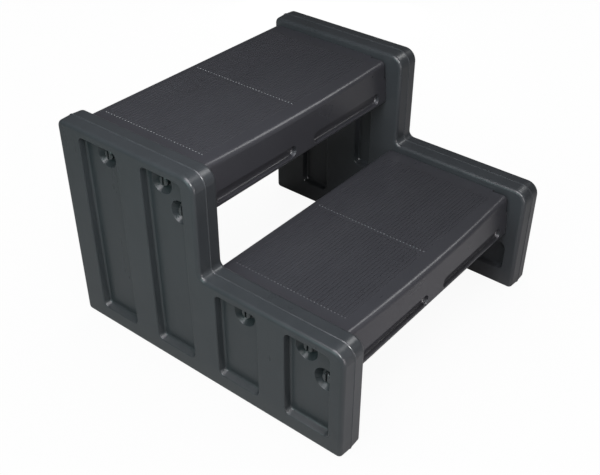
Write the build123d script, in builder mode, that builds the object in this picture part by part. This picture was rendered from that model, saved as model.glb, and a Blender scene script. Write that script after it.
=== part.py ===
"""Two-step ladder for a camper door: two blown side panels carrying two blown treads on screws."""
import os
from math import radians, tan

from build123d import *

os.makedirs("parts", exist_ok=True)

# Overall form, in millimetres: x runs along the treads, y from front to back, z up from the ground
overall_width = 588.0
overall_depth = 581.0
top_height = 390.0
low_height = 213.0
run_share = 0.48

# Side panels
panel_thickness = 52.0
wall = 3.0
panel_draft = 3.0
panel_edge_radius = 7.0
nose_corner_radius = 25.0
plain_corner_radius = 14.0
foot_corner_radius = 10.0
inside_corner_radius = 9.0
seam_width = 2.4
seam_height = 0.8
seam_draft = 30.0
foot_trim = 3.0
blow_hole_radius = 4.0

# Recesses in the outer face, each measured from the front and the top of its own step
recess_front_margin = 27.0
recess_rib = 52.5
recess_rear_margin = 50.5
recess_top_margin = 17.0
recess_sill = 30.0
recess_depth = 13.0
recess_corner_radius = 10.0
recess_draft = 15.0
recess_foot_radius = 4.0
recess_rim_radius = 2.0

# Recesses in the inner face: step, outer recess behind it, start and end as shares of its width,
# height of the foot, drop of the head below the step's top
inner_recesses = (
    ("lower", 0, 0.0, 1.0, 34.0, 121.0),
    ("lower", 1, 0.0, 1.0, 34.0, 87.0),
    ("upper", 0, 0.41, 0.82, 136.0, 122.0),
    ("upper", 1, 0.0, 0.72, 40.0, 90.0),
)
inner_recess_depth = 12.0

# Fastening points of a tread end: outer recess, setback from its front edge, drop from the step's top
fastener_points = {"rear": (1, 35.5, 38.0), "middle": (0, 52.5, 38.0), "front": (0, 16.5, 79.0)}
dish_radius = 21.0
dish_depth = 12.0
dish_draft = 35.0
dish_foot_radius = 3.0
web_thickness = 5.0
socket_clearance = 0.4
spigot_radius = 13.0
spigot_end_clearance = 0.5

# Treads
tread_drop = 16.0
tread_front = 29.5
tread_rear_margin = 5.5
plate_thickness = 48.0
apron_thickness = 35.0
apron_drop = 98.5
nose_middle = 27.5
nose_end = 36.0
bow_overrun = 7.0
nose_radius = 9.0
tread_rear_radius = 10.0
tread_edge_radius = 5.0
tread_corner_radius = 8.0
tread_plan_radius = 14.0
apron_foot_radius = 5.0
end_edge_radius = 2.0
relief_depth = 6.0
relief_setback = 65.0
relief_drop = 50.0

# Grip ribs on top of a tread, in two fields
rib_pitch = 6.55
rib_first = 62.0
rib_rear_margin = 18.0
rib_width = 3.4
rib_height = 1.0
rib_draft = 30.0
rib_end_margin = 30.0
rib_inner = 2.5

# Long dimples in a tread's apron
dimple_inner = 23.0
dimple_end_margin = 23.0
dimple_height = 23.0
dimple_drop = 80.5
dimple_depth = 9.0
dimple_lead = 1.5
dimple_draft = 12.0
dimple_foot_radius = 4.0

# Screws and washers
washer_radius = 10.5
washer_thickness = 2.0
washer_edge_radius = 0.5
screw_radius = 4.0
screw_clearance = 0.4
head_radius = 9.2
head_height = 8.0
head_edge_radius = 3.0
screw_length = 30.0
screw_tip_radius = 2.0
slot_width = 4.0
slot_depth = 4.0
slot_draft = 5.0

# Places derived from the sizes above
y_front = -overall_depth / 2
y_back = overall_depth / 2
step_run = overall_depth * run_share
step_depth = overall_depth - step_run
step_rise = top_height - low_height
y_riser = y_front + step_run
x_outer = -overall_width / 2
x_inner = x_outer + panel_thickness
tread_length = -2 * x_inner
steps = {"lower": (y_front, low_height), "upper": (y_riser, top_height)}
recess_width = (step_depth - recess_front_margin - recess_rib - recess_rear_margin) / 2
recess_fronts = (recess_front_margin, recess_front_margin + recess_width + recess_rib)
tread_rear = step_depth - tread_rear_margin
bow_half = tread_length / 2 + bow_overrun
rib_outer = tread_length / 2 - rib_end_margin
rib_count = int((tread_rear - rib_rear_margin - rib_first) / rib_pitch) + 1
rib_middle = y_front + rib_first + rib_pitch * (rib_count - 1) / 2
dimple_outer = tread_length / 2 - dimple_end_margin
socket_depth = panel_thickness - recess_depth - dish_depth - web_thickness
recess_slope = recess_depth * tan(radians(recess_draft))
panel_plane = Plane.YZ.offset(x_outer + panel_thickness / 2)
outer_plane = Plane.YZ.offset(x_outer)
floor_plane = Plane.YZ.offset(x_outer + recess_depth)
dish_plane = Plane.YZ.offset(x_outer + recess_depth + dish_depth)
inner_plane = Plane(origin=(x_inner, 0, 0), x_dir=(0, -1, 0), z_dir=(-1, 0, 0))
inner_floor_plane = inner_plane.offset(inner_recess_depth)


def panel_outline(grow):
    """Face of the panel's outline on its mid plane, grown by the given amount."""
    with BuildSketch(panel_plane) as outline:
        with BuildLine():
            FilletPolyline(
                (y_back, -foot_trim),
                (y_back, top_height),
                (y_riser, top_height),
                (y_riser, low_height),
                (y_front, low_height),
                (y_front, -foot_trim),
                radius=(
                    foot_corner_radius,
                    plain_corner_radius,
                    nose_corner_radius,
                    inside_corner_radius,
                    nose_corner_radius,
                    foot_corner_radius,
                ),
                close=True,
            )
        make_face()
        if grow:
            offset(amount=grow)
    return outline.sketch


def panel_form(inset):
    """Rounded panel drafted from its mid plane, shrunk by the given inset and cut flat at the foot."""
    with BuildPart() as form:
        outline = panel_outline(-seam_height - inset)
        extrude(outline, amount=panel_thickness / 2 - inset, both=True, taper=panel_draft)
        flanks = form.faces().filter_by(Axis.X).sort_by(Axis.X)
        fillet(flanks[0].edges() + flanks[-1].edges(), radius=panel_edge_radius - inset)
        split(bisect_by=Plane.XY.offset(inset), keep=Keep.TOP)
    return form.part


def floors_on(panel, plane):
    """Faces of the panel that lie on the given plane."""
    flat_faces = panel.faces().filter_by(Axis.X)
    return flat_faces.filter_by_position(Axis.X, plane.origin.X - 0.01, plane.origin.X + 0.01)


def recess_places():
    """Centre and height of each recess in the outer face."""
    places = []
    for step_front, step_top in steps.values():
        height = step_top - recess_top_margin - recess_sill
        for setback in recess_fronts:
            places.append((step_front + setback + recess_width / 2, recess_sill + height / 2, height))
    return places


def inner_recess_places():
    """Centre, width and height of each recess in the inner face."""
    places = []
    for step, recess, start, end, foot, head_drop in inner_recesses:
        step_front, step_top = steps[step]
        place_y = step_front + recess_fronts[recess] + recess_width * (start + end) / 2
        head = step_top - head_drop
        places.append((place_y, (foot + head) / 2, recess_width * (end - start), head - foot))
    return places


def tread_points():
    """Name, setback from the step's front and drop from its top of each fastening point of a tread."""
    points = {}
    for spot, (recess, setback, drop) in fastener_points.items():
        points[spot] = (recess_fronts[recess] + setback, drop)
    return points


def fastener_places():
    """Name and centre of each fastening point of one panel."""
    places = {}
    for step, (step_front, step_top) in steps.items():
        for spot, (setback, drop) in tread_points().items():
            places[f"{step}_{spot}"] = (step_front + setback, step_top - drop)
    return places


def dish_form(place_y, place_z):
    """Round dish sunk below a recess's floor, cut straight where it meets the recess's walls."""
    with BuildPart() as dish:
        with BuildSketch(floor_plane) as rim:
            with Locations((place_y, place_z)):
                Circle(dish_radius)
        extrude(amount=dish_depth, taper=dish_draft)
        fillet(dish.faces().sort_by(Axis.X)[-1].edges(), radius=dish_foot_radius)
        extrude(rim.sketch, amount=-recess_foot_radius)
        with BuildSketch(floor_plane):
            for recess_y, recess_z, height in recess_places():
                with Locations((recess_y, recess_z)):
                    Rectangle(recess_width - 2 * recess_slope, height - 2 * recess_slope)
        extrude(amount=panel_thickness, both=True, mode=Mode.INTERSECT)
    return dish.part


with BuildPart() as panel_cavity:
    add(panel_form(wall))
    for place_y, place_z, height in recess_places():
        with BuildSketch(outer_plane):
            with Locations((place_y, place_z)):
                RectangleRounded(recess_width + 2 * wall, height + 2 * wall, recess_corner_radius + wall)
        extrude(amount=recess_depth + wall, taper=recess_draft, mode=Mode.SUBTRACT)
    for place_y, place_z, width, height in inner_recess_places():
        with BuildSketch(inner_plane):
            with Locations((-place_y, place_z)):
                RectangleRounded(width + 2 * wall, height + 2 * wall, recess_corner_radius + wall)
        extrude(amount=inner_recess_depth + wall, taper=recess_draft, mode=Mode.SUBTRACT)
    with BuildSketch(inner_plane):
        for place_y, place_z in fastener_places().values():
            with Locations((-place_y, place_z)):
                Circle(spigot_radius + socket_clearance + wall)
    extrude(amount=panel_thickness, mode=Mode.SUBTRACT)
    with BuildSketch(floor_plane):
        for place_y, place_z in fastener_places().values():
            with Locations((place_y, place_z)):
                Circle(dish_radius + wall)
    extrude(amount=dish_depth + wall, taper=dish_draft, mode=Mode.SUBTRACT)

with BuildPart() as side_panel_left:
    add(panel_form(0))
    extrude(panel_outline(0), amount=seam_width / 2, both=True, taper=seam_draft)
    split(bisect_by=Plane.XY, keep=Keep.TOP)
    for place_y, place_z, height in recess_places():
        with BuildSketch(outer_plane):
            with Locations((place_y, place_z)):
                RectangleRounded(recess_width, height, recess_corner_radius)
        extrude(amount=recess_depth, taper=recess_draft, mode=Mode.SUBTRACT)
    fillet(floors_on(side_panel_left, floor_plane).edges(), radius=recess_foot_radius)
    outer_face = side_panel_left.faces().filter_by(Axis.X).sort_by(Axis.X)[0]
    fillet([edge for wire in outer_face.inner_wires() for edge in wire.edges()], radius=recess_rim_radius)
    for place_y, place_z, width, height in inner_recess_places():
        with BuildSketch(inner_plane):
            with Locations((-place_y, place_z)):
                RectangleRounded(width, height, recess_corner_radius)
        extrude(amount=inner_recess_depth, taper=recess_draft, mode=Mode.SUBTRACT)
    fillet(floors_on(side_panel_left, inner_floor_plane).edges(), radius=recess_foot_radius)
    inner_face = side_panel_left.faces().filter_by(Axis.X).sort_by(Axis.X)[-1]
    fillet([edge for wire in inner_face.inner_wires() for edge in wire.edges()], radius=recess_rim_radius)
    for place_y, place_z in fastener_places().values():
        add(dish_form(place_y, place_z), mode=Mode.SUBTRACT)
    with BuildSketch(inner_plane):
        for place_y, place_z in fastener_places().values():
            with Locations((-place_y, place_z)):
                Circle(spigot_radius + socket_clearance)
    extrude(amount=socket_depth, mode=Mode.SUBTRACT)
    with BuildSketch(dish_plane):
        for place_y, place_z in fastener_places().values():
            with Locations((place_y, place_z)):
                Circle(screw_radius + screw_clearance)
    extrude(amount=web_thickness, mode=Mode.SUBTRACT)
    add(panel_cavity.part, mode=Mode.SUBTRACT)
    with BuildSketch(Plane.XY):
        with Locations((x_outer + panel_thickness / 2, 0)):
            Circle(blow_hole_radius)
    extrude(amount=recess_sill / 2, mode=Mode.SUBTRACT)
side_panel_left.part.label = "side_panel_left"
export_step(side_panel_left.part, "parts/side_panel_left.step")

with BuildPart() as side_panel_right:
    mirror(side_panel_left.part, about=Plane.YZ)
side_panel_right.part.label = "side_panel_right"
export_step(side_panel_right.part, "parts/side_panel_right.step")


def tread_form(inset):
    """Tread at the lower step with a bowed nose above a straight apron, shrunk by the given inset."""
    back = y_front + tread_rear
    foot = y_front + tread_front + inset
    nose = y_front + nose_end + inset
    half_length = tread_length / 2 - inset
    with BuildPart() as form:
        with BuildSketch(Plane.XY.offset(low_height - apron_drop + inset)):
            with BuildLine():
                Polyline(
                    (bow_half, foot),
                    (bow_half, back),
                    (-bow_half, back),
                    (-bow_half, foot),
                    close=True,
                )
            make_face()
        with BuildSketch(Plane.XY.offset(low_height - tread_drop - inset)):
            with BuildLine():
                Polyline((bow_half, nose), (bow_half, back), (-bow_half, back), (-bow_half, nose))
                ThreePointArc((-bow_half, nose), (0, y_front + nose_middle + inset), (bow_half, nose))
            make_face()
        loft(ruled=True)
        front_edges = form.edges().filter_by_position(Axis.Y, y_front, foot + nose_radius)
        fillet(front_edges.sort_by(Axis.Z)[-1], radius=nose_radius - inset)
        front_edges = form.edges().filter_by_position(Axis.Y, y_front, foot + nose_radius)
        fillet(front_edges.sort_by(Axis.Z)[0], radius=apron_foot_radius - inset)
        with BuildSketch(Plane.YZ.offset(-half_length)):
            with BuildLine():
                plate_top = low_height - tread_drop - inset
                plate_foot = low_height - tread_drop - plate_thickness + inset
                apron_back = y_front + tread_front + apron_thickness - inset
                apron_foot = low_height - apron_drop + inset
                FilletPolyline(
                    (y_front, plate_top),
                    (back - inset, plate_top),
                    (back - inset, plate_foot),
                    (apron_back, plate_foot),
                    (apron_back, apron_foot),
                    (y_front, apron_foot),
                    radius=(
                        0,
                        tread_rear_radius - inset,
                        tread_edge_radius - inset,
                        tread_corner_radius + inset,
                        tread_edge_radius - inset,
                        0,
                    ),
                    close=True,
                )
            make_face()
        extrude(amount=2 * half_length, mode=Mode.INTERSECT)
    return form.part


def rear_corners(inset):
    """What is rounded off a tread's two rear corners seen from above, shrunk by the given inset."""
    centre_x = tread_length / 2 - tread_plan_radius
    centre_y = y_front + tread_rear - tread_plan_radius
    with BuildPart() as corners:
        with BuildSketch(Plane.XY.offset(low_height - tread_drop)):
            with Locations((0, centre_y)):
                Rectangle(tread_length, 2 * tread_plan_radius)
                Rectangle(2 * centre_x, 2 * tread_plan_radius, mode=Mode.SUBTRACT)
            with Locations((-centre_x, centre_y), (centre_x, centre_y)):
                Circle(tread_plan_radius - inset, mode=Mode.SUBTRACT)
            with Locations((0, centre_y - tread_plan_radius / 2)):
                Rectangle(tread_length, tread_plan_radius, mode=Mode.SUBTRACT)
        extrude(amount=-plate_thickness)
    return corners.part


with BuildPart() as tread_cavity:
    add(tread_form(wall))
    add(rear_corners(wall), mode=Mode.SUBTRACT)
    for side in (-1, 1):
        with BuildSketch(Plane.YZ.offset(side * tread_length / 2)):
            with Locations((y_front + relief_setback + wall, low_height - relief_drop - wall)):
                Rectangle(relief_setback, relief_drop, align=(Align.MAX, Align.MIN))
        extrude(amount=-side * (relief_depth + wall), mode=Mode.SUBTRACT)
        with BuildSketch(Plane.XZ.offset(-y_front)):
            with Locations((side * (dimple_inner + dimple_outer) / 2, low_height - dimple_drop)):
                SlotOverall(dimple_outer - dimple_inner + 2 * wall, dimple_height + 2 * wall)
        extrude(amount=-tread_front - dimple_depth - wall, mode=Mode.SUBTRACT)

with BuildPart() as tread_lower:
    add(tread_form(0))
    for side in (-1, 1):
        with BuildSketch(Plane.YZ.offset(side * tread_length / 2)):
            with Locations((y_front + relief_setback, low_height - relief_drop)):
                Rectangle(relief_setback, relief_drop, align=(Align.MAX, Align.MIN))
        extrude(amount=-side * relief_depth, mode=Mode.SUBTRACT)
        with BuildSketch(Plane.XZ.offset(dimple_lead - y_front - tread_front)):
            with Locations((side * (dimple_inner + dimple_outer) / 2, low_height - dimple_drop)):
                SlotOverall(dimple_outer - dimple_inner, dimple_height)
        extrude(amount=-dimple_lead - dimple_depth, taper=dimple_draft, mode=Mode.SUBTRACT)
    dimple_y = y_front + tread_front + dimple_depth
    upright_faces = tread_lower.faces().filter_by(Axis.Y)
    dimple_floors = upright_faces.filter_by_position(Axis.Y, dimple_y - 0.01, dimple_y + 0.01)
    fillet(dimple_floors.edges(), radius=dimple_foot_radius)
    ends = tread_lower.faces().filter_by(Axis.X).group_by(Axis.X)
    fillet((ends[0] + ends[-1]).edges(), radius=end_edge_radius)
    add(rear_corners(0), mode=Mode.SUBTRACT)
    for side in (-1, 1):
        with BuildSketch(Plane.YZ.offset(side * tread_length / 2)):
            for setback, drop in tread_points().values():
                with Locations((y_front + setback, low_height - drop)):
                    Circle(spigot_radius)
        extrude(amount=side * (socket_depth - spigot_end_clearance))
    add(tread_cavity.part, mode=Mode.SUBTRACT)
    for side in (-1, 1):
        with BuildSketch(Plane.YZ.offset(side * (tread_length / 2 + socket_depth))):
            for setback, drop in tread_points().values():
                with Locations((y_front + setback, low_height - drop)):
                    Circle(screw_radius + screw_clearance)
        extrude(amount=-side * (socket_depth + 2 * wall), mode=Mode.SUBTRACT)
    with BuildSketch(Plane.XY.offset(low_height - tread_drop)):
        for side in (-1, 1):
            with Locations((side * (rib_inner + rib_outer) / 2, rib_middle)):
                with GridLocations(0, rib_pitch, 1, rib_count):
                    RectangleRounded(rib_outer - rib_inner, rib_width, rib_width / 2 - 0.1)
    extrude(amount=rib_height, taper=rib_draft)
    with BuildSketch(Plane.XY.offset(low_height - tread_drop - plate_thickness)):
        Circle(blow_hole_radius)
    extrude(amount=2 * wall, mode=Mode.SUBTRACT)
tread_lower.part.label = "tread_lower"
export_step(tread_lower.part, "parts/tread_lower.step")

with BuildPart() as tread_upper:
    with Locations((0, step_run, step_rise)):
        add(tread_lower.part)
tread_upper.part.label = "tread_upper"
export_step(tread_upper.part, "parts/tread_upper.step")

for side, hand in ((-1, "left"), (1, "right")):
    for spot, (place_y, place_z) in fastener_places().items():
        seat_centre = (-side * dish_plane.origin.X, place_y, place_z)
        seat = Plane(origin=seat_centre, x_dir=(0, 1, 0), z_dir=(side, 0, 0))
        with BuildPart() as washer:
            with BuildSketch(seat):
                Circle(washer_radius)
                Circle(screw_radius + screw_clearance, mode=Mode.SUBTRACT)
            extrude(amount=washer_thickness)
            rims = washer.edges().filter_by(GeomType.CIRCLE).group_by(SortBy.RADIUS)
            fillet(rims[-1], radius=washer_edge_radius)
        washer.part.label = f"washer_{hand}_{spot}"
        export_step(washer.part, f"parts/washer_{hand}_{spot}.step")
        with BuildPart() as screw:
            with BuildSketch(seat.offset(washer_thickness)):
                Circle(head_radius)
            extrude(amount=head_height)
            crown = screw.faces().sort_by(Axis.X)[0 if side < 0 else -1]
            fillet(crown.edges(), radius=head_edge_radius)
            with BuildSketch(seat.offset(washer_thickness + head_height)):
                Rectangle(slot_width, 3 * head_radius)
            extrude(amount=-slot_depth, taper=slot_draft, mode=Mode.SUBTRACT)
            with BuildSketch(seat.offset(washer_thickness)):
                Circle(screw_radius)
            extrude(amount=-screw_length)
            tip = screw.faces().sort_by(Axis.X)[-1 if side < 0 else 0]
            chamfer(tip.edges(), length=screw_radius - screw_tip_radius)
        screw.part.label = f"screw_{hand}_{spot}"
        export_step(screw.part, f"parts/screw_{hand}_{spot}.step")
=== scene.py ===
"""Two-step ladder of blown anthracite plastic: finishes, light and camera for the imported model."""
from math import radians

import bpy
from bpy.props import FloatProperty, FloatVectorProperty, PointerProperty
from bpy.types import Operator, Panel, PropertyGroup
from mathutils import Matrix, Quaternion, Vector

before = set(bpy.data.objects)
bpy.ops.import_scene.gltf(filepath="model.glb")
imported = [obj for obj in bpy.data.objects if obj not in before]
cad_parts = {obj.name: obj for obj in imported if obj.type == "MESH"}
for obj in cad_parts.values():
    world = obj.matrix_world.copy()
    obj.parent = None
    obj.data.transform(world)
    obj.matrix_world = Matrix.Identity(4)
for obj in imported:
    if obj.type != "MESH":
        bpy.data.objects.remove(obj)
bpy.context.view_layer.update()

bl_info = {
    "name": "Two-Step Ladder",
    "version": (1, 0, 0),
    "blender": (4, 5, 0),
    "location": "3D View > Sidebar > Step Ladder",
    "description": "Finishes the panels, treads and screws of a two-step ladder and sets it on a pale stage",
    "category": "Object",
}

WHITE = (1.0, 1.0, 1.0)
FLOOR_REACH = 30.0
LAMP_TARGET = (0.0, 0.0, 0.18)

# Lamps: name, setting that holds the power, place, width, colour, and the kind of light it doesn't give
LAMPS = (
    ("key_softbox", "key", (-1.3, -0.05, 0.85), 0.9, (0.72, 1.0, 0.97), None),
    ("glint_lamp", "glint", (-0.74, -1.08, 1.25), 0.25, WHITE, "visible_diffuse"),
    ("strip_lamp", "strip", (1.13, -0.52, 1.65), 0.8, WHITE, "visible_diffuse"),
    ("low_softbox", "low", (-0.25, -1.0, 0.30), 0.4, (1.0, 0.92, 0.95), None),
    ("right_softbox", "right", (1.0, -1.6, 1.0), 0.8, WHITE, None),
    ("overhead_softbox", "above", (-0.5, -0.22, 1.25), 0.8, (1.0, 0.95, 1.0), None),
    ("rear_softbox", "rear", (1.15, 0.85, 0.24), 0.5, WHITE, "visible_glossy"),
)

# Noise in the plastic, in features per metre
TONE_CLOUDS = 13.0
SPECKS = 310.0
RUB_AND_SHEEN_PATCHES = 46.0
DUST_CLUMPS = 60.0

# Noise in the steel's coat, in features per metre
COAT_CLOUDS = 260.0
COAT_GRIT = 1400.0
COAT_PATCHES = 700.0
COAT_DUST = 420.0

# Where the treads' finish departs from the panels'
TREAD_LOOK = {
    "colour": (0.0388, 0.0405, 0.0457),
    "rub_and_sheen": 0.0,
    "rib_end_highlight": 0.6,
    "mottle": 0.10,
    "grain_depth": 0.000012,
    "wave_depth": 0.00015,
}

# Stretch of the flow streaks along X, Y and Z, and turning rings across a screw and a washer
PANEL_FLOW = (30.0, 55.0, 4.0)
TREAD_FLOW = (4.0, 55.0, 30.0)
SCREW_RINGS = 90.0
WASHER_RINGS = 160.0


class Shade:
    """Output of a shader node that can stand in plain arithmetic."""

    def __init__(self, finish, socket):
        self.finish = finish
        self.socket = socket

    def math(self, operation, *values):
        return self.finish.node("ShaderNodeMath", {"operation": operation}, dict(enumerate(values)))

    def __add__(self, other):
        return self.math("ADD", self, other)

    __radd__ = __add__

    def __sub__(self, other):
        return self.math("SUBTRACT", self, other)

    def __rsub__(self, other):
        return self.math("SUBTRACT", other, self)

    def __mul__(self, other):
        return self.math("MULTIPLY", self, other)

    __rmul__ = __mul__

    def __truediv__(self, other):
        return self.math("DIVIDE", self, other)

    def __rtruediv__(self, other):
        return self.math("DIVIDE", other, self)

    def __pow__(self, other):
        return self.math("POWER", self, other)


class Finish:
    """Node tree of one material, or of the world, filled node by node."""

    def __init__(self, owner):
        owner.use_nodes = True
        self.tree = owner.node_tree
        self.tree.nodes.clear()

    def node(self, kind, settings=None, sockets=None, output=0):
        """Adds a node, sets its settings and then its sockets, and returns one of its outputs."""
        made = self.tree.nodes.new(kind)
        for name, value in (settings or {}).items():
            if name == "stops":
                self.set_stops(made.color_ramp, value)
            else:
                setattr(made, name, value)
        for name, value in (sockets or {}).items():
            if isinstance(value, Shade):
                self.tree.links.new(value.socket, made.inputs[name])
            else:
                made.inputs[name].default_value = value
        return Shade(self, made.outputs[output]) if len(made.outputs) else None

    def set_stops(self, ramp, stops):
        """Places a ramp's stops, each a position and a grey level."""
        while len(ramp.elements) < len(stops):
            ramp.elements.new(1.0)
        for element, (position, level) in zip(ramp.elements, stops):
            element.position = position
            element.color = (level, level, level, 1.0)

    def ramp(self, value, *stops):
        return self.node("ShaderNodeValToRGB", {"stops": stops}, {"Fac": value})

    def blend(self, share, first, second):
        """Colour that goes from the first to the second by the given share."""
        settings = {"data_type": "RGBA", "clamp_factor": True}
        return self.node("ShaderNodeMix", settings, {0: share, 6: first, 7: second}, output=2)

    def stretch(self, place, scale):
        """Coordinates scaled apart along the three axes."""
        return self.node("ShaderNodeVectorMath", {"operation": "MULTIPLY"}, {0: place, 1: scale})

    def noise(self, place, scale, detail=2.0, roughness=0.5):
        sockets = {"Vector": place, "Scale": scale, "Detail": detail, "Roughness": roughness}
        return self.node("ShaderNodeTexNoise", {}, sockets)

    def split(self, vector):
        """The three parts of a vector."""
        first = self.node("ShaderNodeSeparateXYZ", {}, {0: vector})
        return [Shade(self, socket) for socket in first.socket.node.outputs]

    def surface(self, shader):
        self.node("ShaderNodeOutputMaterial", {}, {"Surface": shader})


def new_finish(name):
    material = bpy.data.materials.new(name)
    return material, Finish(material)


def dress(material, prefix):
    """Gives the material to every CAD node whose name starts with the prefix."""
    dressed = [node for name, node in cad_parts.items() if name.startswith(prefix)]
    if not dressed:
        raise RuntimeError(f"no node of the frame starts with {prefix}")
    for node in dressed:
        if node.material_slots:
            node.material_slots[0].material = material
        else:
            node.data.materials.append(material)


def opaque(colour):
    return (*colour, 1.0)


def edge_share(finish, reach):
    """How much a spot lies on a tight edge: 0 on flats and broad curves, rising to 1 on creases."""
    rounded = finish.node("ShaderNodeBevel", {"samples": 6}, {"Radius": reach})
    facing = finish.node("ShaderNodeNewGeometry", {}, {}, output="Normal")
    sides = {0: rounded, 1: facing}
    same = finish.node("ShaderNodeVectorMath", {"operation": "DOT_PRODUCT"}, sides, output="Value")
    return finish.ramp(1 - same, (0.004, 0.0), (0.09, 1.0))


def rib_glint_mask(finish, place, reach):
    """1 on the slanting, upward-facing ends of the grip ribs, where a pale painted highlight goes, and 0
    elsewhere.
    """
    facing = finish.split(finish.node("ShaderNodeNewGeometry", {}, {}, output="Normal"))
    along = finish.split(place)[0]
    slant = finish.ramp(along.math("ABSOLUTE", facing[0]), (0.30, 0.0), (0.55, 1.0))
    upward = finish.ramp(facing[2], (0.15, 0.0), (0.35, 1.0))
    return slant * upward * along.math("LESS_THAN", along.math("ABSOLUTE", along), reach)


def blown_plastic(name, look, flow):
    """Satin blown plastic: blasted mould grain, faint waves and flow streaks, pale edges that are partly
    rubbed wear and partly painted highlight, painted highlights on the rib ends, and dusty feet.
    """
    material, finish = new_finish(name)
    place = finish.node("ShaderNodeTexCoord", {}, {}, output="Object")
    height = finish.split(place)[2]
    grain = finish.noise(place, 1.0 / look.grain_size, 3.0, 0.6)
    wave = finish.noise(place, 1.0 / look.wave_size, 1.0)
    cloud = finish.noise(place, TONE_CLOUDS, 3.0, 0.55)
    streak = finish.noise(finish.stretch(place, flow), 1.0, 2.0, 0.6)
    speck = finish.ramp(finish.noise(place, SPECKS, 2.0, 0.7), (0.66, 0.0), (0.74, 1.0))
    patches = finish.ramp(finish.noise(place, RUB_AND_SHEEN_PATCHES, 4.0, 0.7), (0.38, 0.15), (0.68, 1.0))
    # Pale tight edges: partly rubbed wear, partly painted highlight along the seams and creases.
    rub_and_sheen = look.rub_and_sheen * edge_share(finish, look.rub_and_sheen_reach) * patches
    # Painted highlight: the slanting rib ends are made pale where glints fall on them.
    if look.rib_end_highlight:
        painted_rib_highlight = look.rib_end_highlight * rib_glint_mask(finish, place, look.rib_reach)
        rub_and_sheen = rub_and_sheen.math("MAXIMUM", rub_and_sheen, painted_rib_highlight)
    low = finish.ramp(height / look.dust_height, (0.0, 1.0), (1.0, 0.0))
    dust = look.dust * (0.25 * speck + low * finish.noise(place, DUST_CLUMPS, 4.0, 0.7))
    tone = 0.5 + 0.55 * (cloud - 0.5) + 0.35 * (streak - 0.5)
    dark = opaque([channel * (1 - look.mottle) for channel in look.colour])
    pale = opaque([channel * (1 + look.mottle) for channel in look.colour])
    colour = finish.blend(tone, dark, pale)
    colour = finish.blend(rub_and_sheen, colour, opaque(look.rub_and_sheen_colour))
    colour = finish.blend(dust, colour, opaque(look.dust_colour))
    gloss = look.roughness + 0.10 * (cloud - 0.5) + 0.08 * (streak - 0.5) + 0.06 * speck + 0.25 * dust
    relief = look.grain_depth * grain + look.wave_depth * wave
    normal = finish.node("ShaderNodeBump", {}, {"Strength": 1.0, "Distance": 1.0, "Height": relief})
    shader = finish.node("ShaderNodeBsdfPrincipled", {}, {
        "Base Color": colour,
        "Roughness": gloss,
        "IOR": look.ior,
        "Normal": normal,
    })
    finish.surface(shader)
    return material


def coated_steel(name, look, ring_pitch):
    """Dark coated steel: fine turning rings under the coat, bare rubbed edges and dust in the low spots."""
    material, finish = new_finish(name)
    spread = finish.node("ShaderNodeTexCoord", {}, {}, output="Generated")
    place = finish.node("ShaderNodeTexCoord", {}, {}, output="Object")
    _, across, up = finish.split(spread)
    radius = ((across - 0.5) * (across - 0.5) + (up - 0.5) * (up - 0.5)) ** 0.5
    rings = radius.math("SINE", radius * ring_pitch)
    cloud = finish.noise(place, COAT_CLOUDS, 4.0, 0.6)
    grit = finish.ramp(finish.noise(place, COAT_GRIT, 3.0, 0.7), (0.36, 1.0), (0.50, 0.0))
    patches = finish.ramp(finish.noise(place, COAT_PATCHES, 3.0, 0.7), (0.35, 0.2), (0.6, 1.0))
    bare = look.bare * edge_share(finish, look.bare_reach) * patches
    film = finish.noise(place, COAT_DUST, 3.0, 0.6) + 0.35 * radius
    dust = look.dust * finish.ramp(film, (0.55, 0.0), (0.85, 1.0))
    colour = finish.blend(cloud, opaque(look.colour), opaque(look.film_colour))
    colour = finish.blend(bare, colour, opaque(look.bare_colour))
    colour = finish.blend(dust, colour, opaque(look.dust_colour))
    gloss = look.roughness + 0.30 * dust + 0.14 * (cloud - 0.5) + 0.08 * grit
    relief = 0.000012 * rings - 0.00002 * grit + 0.00001 * cloud
    normal = finish.node("ShaderNodeBump", {}, {"Strength": 1.0, "Distance": 1.0, "Height": relief})
    shader = finish.node("ShaderNodeBsdfPrincipled", {}, {
        "Base Color": colour,
        "Metallic": bare,
        "Roughness": gloss,
        "IOR": look.ior,
        "Normal": normal,
    })
    finish.surface(shader)
    return material


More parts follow.
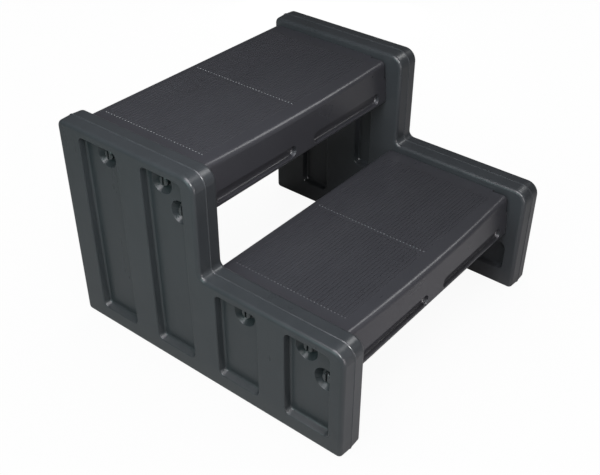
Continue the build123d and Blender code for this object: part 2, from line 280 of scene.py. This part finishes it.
class PlasticLook(PropertyGroup):
    """Finish of a blown plastic piece."""

    colour: FloatVectorProperty(
        name="Colour", description="Anthracite of the plastic, through and through",
        subtype="COLOR", size=3, min=0.0, max=1.0, default=(0.0362, 0.0414, 0.0446))
    mottle: FloatProperty(
        name="Mottle", description="How far the tone wanders to each side of the colour",
        subtype="FACTOR", min=0.0, max=1.0, default=0.22)
    roughness: FloatProperty(
        name="Roughness", description="Middle roughness of the satin surface",
        subtype="FACTOR", min=0.0, max=1.0, default=0.30)
    ior: FloatProperty(
        name="IOR", description="Refractive index of the plastic", min=1.0, max=2.0, default=1.45)
    grain_size: FloatProperty(
        name="Grain Size", description="Spacing of the blasted mould grain",
        unit="LENGTH", min=0.0001, default=0.0012)
    grain_depth: FloatProperty(
        name="Grain Depth", description="Height of the blasted mould grain",
        unit="LENGTH", min=0.0, precision=6, default=0.00004)
    wave_size: FloatProperty(
        name="Wave Size", description="Length of the shallow waves that cooling leaves in a blown wall",
        unit="LENGTH", min=0.001, default=0.055)
    wave_depth: FloatProperty(
        name="Wave Depth", description="Height of the shallow waves",
        unit="LENGTH", min=0.0, precision=6, default=0.0006)
    # Pale tight edges: partly rubbed wear, partly painted highlight along the seams and creases.
    rub_and_sheen: FloatProperty(
        name="Rubbed Edges", description="How pale the tight edges are rubbed",
        subtype="FACTOR", min=0.0, max=1.0, default=0.55)
    # Painted highlight on the slanting ends of the grip ribs, made pale in the colour where glints fall.
    rib_end_highlight: FloatProperty(
        name="Polished Rib Ends", description="How pale the ends of the grip ribs are polished",
        subtype="FACTOR", min=0.0, max=1.0, default=0.0)
    rib_reach: FloatProperty(
        name="Rib Reach", description="How far from the middle of a tread the grip ribs go",
        unit="LENGTH", min=0.0, default=0.216)
    rub_and_sheen_reach: FloatProperty(
        name="Rub Reach", description="How far from an edge the rubbing goes",
        unit="LENGTH", min=0.0, default=0.0012)
    # Colour of the pale edges, for the rubbed wear and the painted highlight alike.
    rub_and_sheen_colour: FloatVectorProperty(
        name="Rub Colour", description="Colour of rubbed plastic",
        subtype="COLOR", size=3, min=0.0, max=1.0, default=(0.15, 0.155, 0.165))
    dust: FloatProperty(
        name="Dust", description="How much dust lies near the ground",
        subtype="FACTOR", min=0.0, max=1.0, default=0.22)
    dust_height: FloatProperty(
        name="Dust Height", description="Height above the ground at which the dust ends",
        unit="LENGTH", min=0.001, default=0.045)
    dust_colour: FloatVectorProperty(
        name="Dust Colour", description="Colour of the dust",
        subtype="COLOR", size=3, min=0.0, max=1.0, default=(0.17, 0.16, 0.15))


class SteelLook(PropertyGroup):
    """Finish of the screws and washers."""

    colour: FloatVectorProperty(
        name="Colour", description="Colour of the coat",
        subtype="COLOR", size=3, min=0.0, max=1.0, default=(0.030, 0.034, 0.036))
    film_colour: FloatVectorProperty(
        name="Film Colour", description="Coat where it is thin",
        subtype="COLOR", size=3, min=0.0, max=1.0, default=(0.048, 0.053, 0.055))
    bare: FloatProperty(
        name="Bare Edges", description="How far the coat is rubbed off the edges",
        subtype="FACTOR", min=0.0, max=1.0, default=0.3)
    bare_reach: FloatProperty(
        name="Bare Reach", description="How far from an edge the coat is rubbed off",
        unit="LENGTH", min=0.0, precision=6, default=0.0005)
    bare_colour: FloatVectorProperty(
        name="Bare Colour", description="Steel under the coat",
        subtype="COLOR", size=3, min=0.0, max=1.0, default=(0.42, 0.43, 0.44))
    dust: FloatProperty(
        name="Dust", description="How much dust lies in the low spots",
        subtype="FACTOR", min=0.0, max=1.0, default=0.12)
    dust_colour: FloatVectorProperty(
        name="Dust Colour", description="Colour of the dust",
        subtype="COLOR", size=3, min=0.0, max=1.0, default=(0.12, 0.115, 0.11))
    roughness: FloatProperty(
        name="Roughness", description="Middle roughness of the coat",
        subtype="FACTOR", min=0.0, max=1.0, default=0.24)
    ior: FloatProperty(
        name="IOR", description="Refractive index of the coat", min=1.0, max=2.0, default=1.55)


class StageLook(PropertyGroup):
    """Floor, light and camera."""

    floor_colour: FloatVectorProperty(
        name="Floor Colour", description="Colour of the floor under the light",
        subtype="COLOR", size=3, min=0.0, max=1.0, default=(0.40, 0.40, 0.40))
    floor_glow: FloatProperty(
        name="Floor White", description="Share of plain white in the floor as the camera sees it",
        subtype="FACTOR", min=0.0, max=1.0, default=0.988)
    floor_shadow: FloatProperty(
        name="Floor Shadow", description="How much of the floor's white goes where the ladder closes it in",
        subtype="FACTOR", min=0.0, max=1.0, default=0.06)
    floor_mirror: FloatProperty(
        name="Floor Mirrored", description="Share of plain white in the floor as the plastic mirrors it",
        subtype="FACTOR", min=0.0, max=1.0, default=0.19)
    world_mirror: FloatProperty(
        name="World Mirrored",
        description="Share of plain white in the surroundings as the plastic mirrors them",
        subtype="FACTOR", min=0.0, max=1.0, default=0.05)
    ambient: FloatProperty(
        name="Ambient", description="Even light from all around", min=0.0, default=0.005)
    key: FloatProperty(
        name="Key", description="Power of the softbox at the left",
        unit="POWER", min=0.0, default=6.8)
    glint: FloatProperty(
        name="Glint", description="Power of the small lamp near the camera, which only glints on edges",
        unit="POWER", min=0.0, default=18.0)
    strip: FloatProperty(
        name="Strip", description="Power of the high lamp at the right, which only glints on the noses",
        unit="POWER", min=0.0, default=11.0)
    low: FloatProperty(
        name="Low", description="Power of the low softbox in front of the left panel",
        unit="POWER", min=0.0, default=3.3)
    right: FloatProperty(
        name="Right", description="Power of the softbox at the front right",
        unit="POWER", min=0.0, default=0.9)
    above: FloatProperty(
        name="Above", description="Power of the softbox overhead",
        unit="POWER", min=0.0, default=16.6)
    rear: FloatProperty(
        name="Rear", description="Power of the low softbox behind the right panel",
        unit="POWER", min=0.0, default=14.0)
    camera_place: FloatVectorProperty(
        name="Camera Place", description="Where the camera stands",
        subtype="TRANSLATION", unit="LENGTH", size=3, default=(-1.06636, -0.83194, 1.09281))
    azimuth: FloatProperty(
        name="Azimuth", description="Direction of the view round the ladder",
        subtype="ANGLE", default=radians(-52.351))
    elevation: FloatProperty(
        name="Elevation", description="Angle of the view above the horizon",
        subtype="ANGLE", default=radians(37.055))
    roll: FloatProperty(
        name="Roll", description="Tilt of the camera about its view", subtype="ANGLE", default=0.0148)
    lens: FloatProperty(
        name="Lens", description="Focal length in millimetres", min=1.0, default=55.338)
    shift_x: FloatProperty(
        name="Shift X", description="Sideways shift of the picture", default=-0.0268)
    shift_y: FloatProperty(
        name="Shift Y", description="Upward shift of the picture", default=0.0386)


class StepLadderSettings(PropertyGroup):
    """All settings of the ladder."""

    panels: PointerProperty(type=PlasticLook, name="Side Panels", description="Finish of the side panels")
    treads: PointerProperty(type=PlasticLook, name="Treads", description="Finish of the treads")
    steel: PointerProperty(type=SteelLook, name="Steel", description="Finish of the screws and washers")
    stage: PointerProperty(type=StageLook, name="Stage", description="Floor, light and camera")


class FinishPanels(Operator):
    """Give the two side panels their blown plastic"""

    bl_idname = "step_ladder.finish_panels"
    bl_label = "Finish Side Panels"

    def execute(self, context):
        look = context.scene.step_ladder.panels
        dress(blown_plastic("blown_plastic_panels", look, PANEL_FLOW), "side_panel")
        return {"FINISHED"}


class FinishTreads(Operator):
    """Give the two treads their blown plastic"""

    bl_idname = "step_ladder.finish_treads"
    bl_label = "Finish Treads"

    def execute(self, context):
        look = context.scene.step_ladder.treads
        dress(blown_plastic("blown_plastic_treads", look, TREAD_FLOW), "tread")
        return {"FINISHED"}


class FinishScrews(Operator):
    """Give the twelve screws their coated steel"""

    bl_idname = "step_ladder.finish_screws"
    bl_label = "Finish Screws"

    def execute(self, context):
        look = context.scene.step_ladder.steel
        dress(coated_steel("coated_steel_screws", look, SCREW_RINGS), "screw")
        return {"FINISHED"}


class FinishWashers(Operator):
    """Give the twelve washers their coated steel"""

    bl_idname = "step_ladder.finish_washers"
    bl_label = "Finish Washers"

    def execute(self, context):
        look = context.scene.step_ladder.steel
        dress(coated_steel("coated_steel_washers", look, WASHER_RINGS), "washer")
        return {"FINISHED"}


def seen_shares(finish):
    """1 for rays that come straight to the eye, and 1 for those that come by a mirror or through glass."""
    straight = finish.node("ShaderNodeLightPath", {}, {}, output="Is Camera Ray")
    path = straight.socket.node
    mirrored = Shade(finish, path.outputs["Is Glossy Ray"])
    through = Shade(finish, path.outputs["Is Transmission Ray"])
    return straight, mirrored.math("MAXIMUM", mirrored, through)


def add_lamp(name, power, place, width, colour, withheld):
    """Square soft light that faces the middle of the ladder and withholds one kind of light, if any."""
    lamp = bpy.data.lights.new(name, "AREA")
    lamp.energy = power
    lamp.size = width
    lamp.color = colour
    light = bpy.data.objects.new(name, lamp)
    light.location = place
    light.visible_camera = False
    light.rotation_mode = "QUATERNION"
    light.rotation_quaternion = (Vector(place) - Vector(LAMP_TARGET)).to_track_quat("Z", "Y")
    if withheld:
        setattr(light, withheld, False)
    bpy.context.scene.collection.objects.link(light)


class SetStage(Operator):
    """Add the pale floor, the soft light and the camera"""

    bl_idname = "step_ladder.set_stage"
    bl_label = "Set Stage"

    def execute(self, context):
        look = context.scene.step_ladder.stage
        self.add_floor(look)
        self.light_world(context, look)
        for name, power, place, width, colour, withheld in LAMPS:
            add_lamp(name, getattr(look, power), place, width, colour, withheld)
        self.place_camera(context, look)
        return {"FINISHED"}

    def add_floor(self, look):
        mesh = bpy.data.meshes.new("floor")
        corners = [(FLOOR_REACH * x, FLOOR_REACH * y, 0) for x, y in ((-1, -1), (1, -1), (1, 1), (-1, 1))]
        mesh.from_pydata(corners, [], [(0, 1, 2, 3)])
        floor = bpy.data.objects.new("floor", mesh)
        bpy.context.scene.collection.objects.link(floor)
        material, finish = new_finish("floor_paper")
        lit = finish.node("ShaderNodeBsdfDiffuse", {}, {"Color": opaque(look.floor_colour)})
        white = finish.node("ShaderNodeEmission", {}, {"Color": opaque(WHITE), "Strength": 1.0})
        open_share = finish.node("ShaderNodeAmbientOcclusion", {"samples": 8}, {"Distance": 0.6}, output="AO")
        straight, mirrored = seen_shares(finish)
        # Painted shadow: ambient occlusion cuts the floor's white where the ladder closes it in, both as the
        # camera sees it and as the plastic mirrors it.
        direct = straight * (look.floor_glow - look.floor_shadow * (1 - open_share))
        share = straight.math("MAXIMUM", direct, mirrored * look.floor_mirror * open_share)
        finish.surface(finish.node("ShaderNodeMixShader", {}, {0: share, 1: lit, 2: white}))
        mesh.materials.append(material)

    def light_world(self, context, look):
        world = bpy.data.worlds.new("studio")
        context.scene.world = world
        finish = Finish(world)
        even = finish.node("ShaderNodeBackground", {}, {"Color": opaque(WHITE), "Strength": look.ambient})
        white = finish.node("ShaderNodeBackground", {}, {"Color": opaque(WHITE), "Strength": 1.0})
        straight, mirrored = seen_shares(finish)
        share = straight.math("MAXIMUM", straight, mirrored * look.world_mirror)
        mixed = finish.node("ShaderNodeMixShader", {}, {0: share, 1: even, 2: white})
        finish.node("ShaderNodeOutputWorld", {}, {"Surface": mixed})

    def place_camera(self, context, look):
        lens = bpy.data.cameras.new("camera")
        lens.lens = look.lens
        lens.shift_x = look.shift_x
        lens.shift_y = look.shift_y
        camera = bpy.data.objects.new("camera", lens)
        context.scene.collection.objects.link(camera)
        turn = Quaternion((0, 0, 1), look.azimuth) @ Quaternion((1, 0, 0), radians(90) - look.elevation)
        camera.rotation_mode = "QUATERNION"
        camera.rotation_quaternion = turn @ Quaternion((0, 0, 1), look.roll)
        camera.location = look.camera_place
        context.scene.camera = camera
        context.scene.view_settings.view_transform = "Standard"


class StepLadderPanel(Panel):
    """Sidebar panel with the ladder's steps and settings"""

    bl_idname = "VIEW3D_PT_step_ladder"
    bl_label = "Step Ladder"
    bl_space_type = "VIEW_3D"
    bl_region_type = "UI"
    bl_category = "Step Ladder"

    def draw(self, context):
        settings = context.scene.step_ladder
        for operator in OPERATORS:
            self.layout.operator(operator.bl_idname)
        for group in (settings.panels, settings.treads, settings.steel, settings.stage):
            box = self.layout.box()
            for name in group.__annotations__:
                box.prop(group, name)


OPERATORS = (FinishPanels, FinishTreads, FinishScrews, FinishWashers, SetStage)
CLASSES = (PlasticLook, SteelLook, StageLook, StepLadderSettings, *OPERATORS, StepLadderPanel)


def register():
    for cls in CLASSES:
        bpy.utils.register_class(cls)
    bpy.types.Scene.step_ladder = PointerProperty(type=StepLadderSettings)


def unregister():
    del bpy.types.Scene.step_ladder
    for cls in reversed(CLASSES):
        bpy.utils.unregister_class(cls)


def main():
    register()
    treads = bpy.context.scene.step_ladder.treads
    for name, value in TREAD_LOOK.items():
        setattr(treads, name, value)
    bpy.ops.step_ladder.finish_panels()
    bpy.ops.step_ladder.finish_treads()
    bpy.ops.step_ladder.finish_screws()
    bpy.ops.step_ladder.finish_washers()
    bpy.ops.step_ladder.set_stage()


if __name__ == "__main__":
    main()
